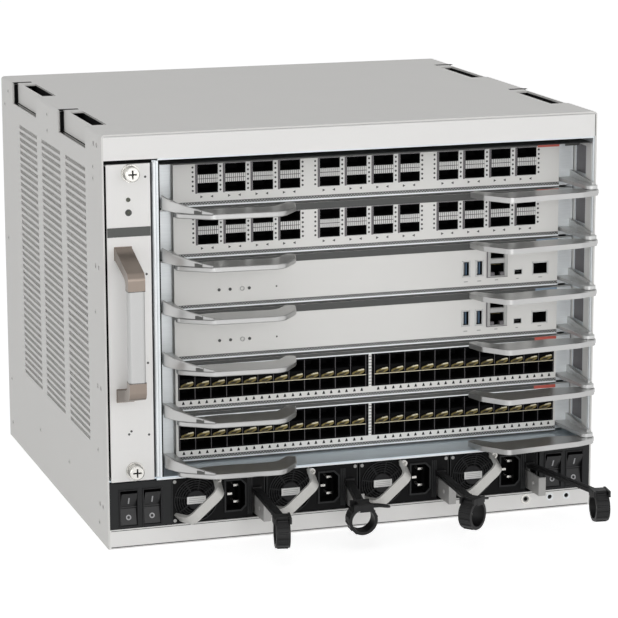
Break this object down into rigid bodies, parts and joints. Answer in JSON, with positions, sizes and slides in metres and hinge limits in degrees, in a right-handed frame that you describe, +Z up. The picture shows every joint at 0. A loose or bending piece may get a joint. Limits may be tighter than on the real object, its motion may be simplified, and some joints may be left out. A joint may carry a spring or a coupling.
{
  "type": "modular chassis switch",
  "caption": "Modular network chassis with a side fan tray, slide-in cards with ejector levers, plug-in power supplies with cord clamps, and rocker switches.",
  "frame": {"origin": "centre of the chassis's base", "axes": "+Z up, -Y towards the front, +X towards the right side seen from the front"},
  "size_m": [0.442, 0.5318, 0.3543],
  "materials": {
    "shell_paint": "satin powder coat",
    "light_paint": "satin powder coat",
    "zinc_sheet": "zinc plated sheet",
    "dark_plastic": "matte",
    "rocker_black": "semi-gloss",
    "bronze": "anodised",
    "grip_grey": "satin",
    "nickel": "bright",
    "lever_metal": "satin",
    "supply_black": "matte",
    "handle_grey": "satin",
    "latch_grey": "satin",
    "strap_black": "matte"
  },
  "bodies": {
    "chassis": {"outer_wrap": "shell_paint", "base_pan": "light_paint", "front_bezel": "light_paint", "rear_panel": "zinc_sheet", "handle_pockets": "shell_paint", "cage_divider": "zinc_sheet", "cage_frame": "zinc_sheet", "cage_shelf": "zinc_sheet", "backplane": "zinc_sheet", "switch_panels": "dark_plastic"},
    "fan_tray": {"fan_tray_frame": "light_paint", "fan_tray_handle_ends": "bronze", "fan_tray_grip": "grip_grey", "fan_tray_fans": "dark_plastic"},
    "thumbscrew_top": {"thumbscrew_top": "nickel"},
    "thumbscrew_bottom": {"thumbscrew_bottom": "nickel"},
    "rocker_1": {"rocker_1": "rocker_black"},
    "rocker_2": {"rocker_2": "rocker_black"},
    "rocker_3": {"rocker_3": "rocker_black"},
    "rocker_4": {"rocker_4": "rocker_black"},
    "card_1": {"card_1_face": "light_paint", "card_1_carrier": "zinc_sheet"},
    "card_1_lever_left": {"card_1_lever_left": "lever_metal"},
    "card_1_lever_right": {"card_1_lever_right": "lever_metal"},
    "card_2": {"card_2_face": "light_paint", "card_2_carrier": "zinc_sheet"},
    "card_2_lever_left": {"card_2_lever_left": "lever_metal"},
    "card_2_lever_right": {"card_2_lever_right": "lever_metal"},
    "card_3": {"card_3_face": "light_paint", "card_3_carrier": "zinc_sheet"},
    "card_3_lever_left": {"card_3_lever_left": "lever_metal"},
    "card_3_lever_right": {"card_3_lever_right": "lever_metal"},
    "card_4": {"card_4_face": "light_paint", "card_4_carrier": "zinc_sheet"},
    "card_4_lever_left": {"card_4_lever_left": "lever_metal"},
    "card_4_lever_right": {"card_4_lever_right": "lever_metal"},
    "card_5": {"card_5_face": "light_paint", "card_5_carrier": "zinc_sheet"},
    "card_5_lever_left": {"card_5_lever_left": "lever_metal"},
    "card_5_lever_right": {"card_5_lever_right": "lever_metal"},
    "card_6": {"card_6_face": "light_paint", "card_6_carrier": "zinc_sheet"},
    "card_6_lever_left": {"card_6_lever_left": "lever_metal"},
    "card_6_lever_right": {"card_6_lever_right": "lever_metal"},
    "supply_1": {"supply_1_housing": "supply_black", "supply_1_handle": "handle_grey", "supply_1_strap": "strap_black"},
    "supply_1_latch": {"supply_1_latch": "latch_grey"},
    "supply_2": {"supply_2_housing": "supply_black", "supply_2_handle": "handle_grey", "supply_2_strap": "strap_black"},
    "supply_2_latch": {"supply_2_latch": "latch_grey"},
    "supply_3": {"supply_3_housing": "supply_black", "supply_3_handle": "handle_grey", "supply_3_strap": "strap_black"},
    "supply_3_latch": {"supply_3_latch": "latch_grey"},
    "supply_4": {"supply_4_housing": "supply_black", "supply_4_handle": "handle_grey", "supply_4_strap": "strap_black"},
    "supply_4_latch": {"supply_4_latch": "latch_grey"}
  },
  "joints": [
    {"name": "rocker_1_tilt", "type": "hinge", "parent": "chassis", "child": "rocker_1", "pos_m": [-0.2028, -0.2005, 0.035], "axis": [-1, 0, 0], "range_deg": [0, 14]},
    {"name": "rocker_2_tilt", "type": "hinge", "parent": "chassis", "child": "rocker_2", "pos_m": [-0.1823, -0.2005, 0.035], "axis": [-1, 0, 0], "range_deg": [0, 14]},
    {"name": "rocker_3_tilt", "type": "hinge", "parent": "chassis", "child": "rocker_3", "pos_m": [0.1847, -0.2005, 0.035], "axis": [-1, 0, 0], "range_deg": [0, 14]},
    {"name": "rocker_4_tilt", "type": "hinge", "parent": "chassis", "child": "rocker_4", "pos_m": [0.2052, -0.2005, 0.035], "axis": [-1, 0, 0], "range_deg": [0, 14]},
    {"name": "fan_tray_slide", "type": "slide", "parent": "chassis", "child": "fan_tray", "axis": [0, -1, 0], "range_m": [0, 0.33]},
    {"name": "thumbscrew_top_turn", "type": "hinge", "parent": "fan_tray", "child": "thumbscrew_top", "pos_m": [-0.1972, -0.2045, 0.3216], "axis": [0, -1, 0], "continuous": true},
    {"name": "thumbscrew_bottom_turn", "type": "hinge", "parent": "fan_tray", "child": "thumbscrew_bottom", "pos_m": [-0.1972, -0.2045, 0.0676], "axis": [0, -1, 0], "continuous": true},
    {"name": "card_1_slide", "type": "slide", "parent": "chassis", "child": "card_1", "axis": [0, -1, 0], "range_m": [0, 0.33]},
    {"name": "card_1_lever_left_turn", "type": "hinge", "parent": "card_1", "child": "card_1_lever_left", "pos_m": [-0.1569, -0.2105, 0.28535], "axis": [0, 0, -1], "range_deg": [0, 70]},
    {"name": "card_1_lever_right_turn", "type": "hinge", "parent": "card_1", "child": "card_1_lever_right", "pos_m": [0.2132, -0.2105, 0.28535], "axis": [0, 0, 1], "range_deg": [0, 70]},
    {"name": "card_2_slide", "type": "slide", "parent": "chassis", "child": "card_2", "axis": [0, -1, 0], "range_m": [0, 0.33]},
    {"name": "card_2_lever_left_turn", "type": "hinge", "parent": "card_2", "child": "card_2_lever_left", "pos_m": [-0.1569, -0.2105, 0.2409], "axis": [0, 0, -1], "range_deg": [0, 70]},
    {"name": "card_2_lever_right_turn", "type": "hinge", "parent": "card_2", "child": "card_2_lever_right", "pos_m": [0.2132, -0.2105, 0.2409], "axis": [0, 0, 1], "range_deg": [0, 70]},
    {"name": "card_3_slide", "type": "slide", "parent": "chassis", "child": "card_3", "axis": [0, -1, 0], "range_m": [0, 0.33]},
    {"name": "card_3_lever_left_turn", "type": "hinge", "parent": "card_3", "child": "card_3_lever_left", "pos_m": [-0.1569, -0.2105, 0.19645], "axis": [0, 0, -1], "range_deg": [0, 70]},
    {"name": "card_3_lever_right_turn", "type": "hinge", "parent": "card_3", "child": "card_3_lever_right", "pos_m": [0.2132, -0.2105, 0.19645], "axis": [0, 0, 1], "range_deg": [0, 70]},
    {"name": "card_4_slide", "type": "slide", "parent": "chassis", "child": "card_4", "axis": [0, -1, 0], "range_m": [0, 0.33]},
    {"name": "card_4_lever_left_turn", "type": "hinge", "parent": "card_4", "child": "card_4_lever_left", "pos_m": [-0.1569, -0.2105, 0.152], "axis": [0, 0, -1], "range_deg": [0, 70]},
    {"name": "card_4_lever_right_turn", "type": "hinge", "parent": "card_4", "child": "card_4_lever_right", "pos_m": [0.2132, -0.2105, 0.152], "axis": [0, 0, 1], "range_deg": [0, 70]},
    {"name": "card_5_slide", "type": "slide", "parent": "chassis", "child": "card_5", "axis": [0, -1, 0], "range_m": [0, 0.33]},
    {"name": "card_5_lever_left_turn", "type": "hinge", "parent": "card_5", "child": "card_5_lever_left", "pos_m": [-0.1569, -0.2105, 0.10755], "axis": [0, 0, -1], "range_deg": [0, 70]},
    {"name": "card_5_lever_right_turn", "type": "hinge", "parent": "card_5", "child": "card_5_lever_right", "pos_m": [0.2132, -0.2105, 0.10755], "axis": [0, 0, 1], "range_deg": [0, 70]},
    {"name": "card_6_slide", "type": "slide", "parent": "chassis", "child": "card_6", "axis": [0, -1, 0], "range_m": [0, 0.33]},
    {"name": "card_6_lever_left_turn", "type": "hinge", "parent": "card_6", "child": "card_6_lever_left", "pos_m": [-0.1569, -0.2105, 0.0631], "axis": [0, 0, -1], "range_deg": [0, 70]},
    {"name": "card_6_lever_right_turn", "type": "hinge", "parent": "card_6", "child": "card_6_lever_right", "pos_m": [0.2132, -0.2105, 0.0631], "axis": [0, 0, 1], "range_deg": [0, 70]},
    {"name": "supply_1_slide", "type": "slide", "parent": "chassis", "child": "supply_1", "axis": [0, -1, 0], "range_m": [0, 0.33]},
    {"name": "supply_1_latch_press", "type": "hinge", "parent": "supply_1", "child": "supply_1_latch", "pos_m": [-0.0881, -0.1936, 0.0278], "axis": [0, 0, -1], "range_deg": [0, 8], "stiffness_Nm_per_rad": 0.6},
    {"name": "supply_2_slide", "type": "slide", "parent": "chassis", "child": "supply_2", "axis": [0, -1, 0], "range_m": [0, 0.33]},
    {"name": "supply_2_latch_press", "type": "hinge", "parent": "supply_2", "child": "supply_2_latch", "pos_m": [-0.004, -0.1936, 0.0278], "axis": [0, 0, -1], "range_deg": [0, 8], "stiffness_Nm_per_rad": 0.6},
    {"name": "supply_3_slide", "type": "slide", "parent": "chassis", "child": "supply_3", "axis": [0, -1, 0], "range_m": [0, 0.33]},
    {"name": "supply_3_latch_press", "type": "hinge", "parent": "supply_3", "child": "supply_3_latch", "pos_m": [0.0801, -0.1936, 0.0278], "axis": [0, 0, -1], "range_deg": [0, 8], "stiffness_Nm_per_rad": 0.6},
    {"name": "supply_4_slide", "type": "slide", "parent": "chassis", "child": "supply_4", "axis": [0, -1, 0], "range_m": [0, 0.33]},
    {"name": "supply_4_latch_press", "type": "hinge", "parent": "supply_4", "child": "supply_4_latch", "pos_m": [0.1642, -0.1936, 0.0278], "axis": [0, 0, -1], "range_deg": [0, 8], "stiffness_Nm_per_rad": 0.6}
  ]
}
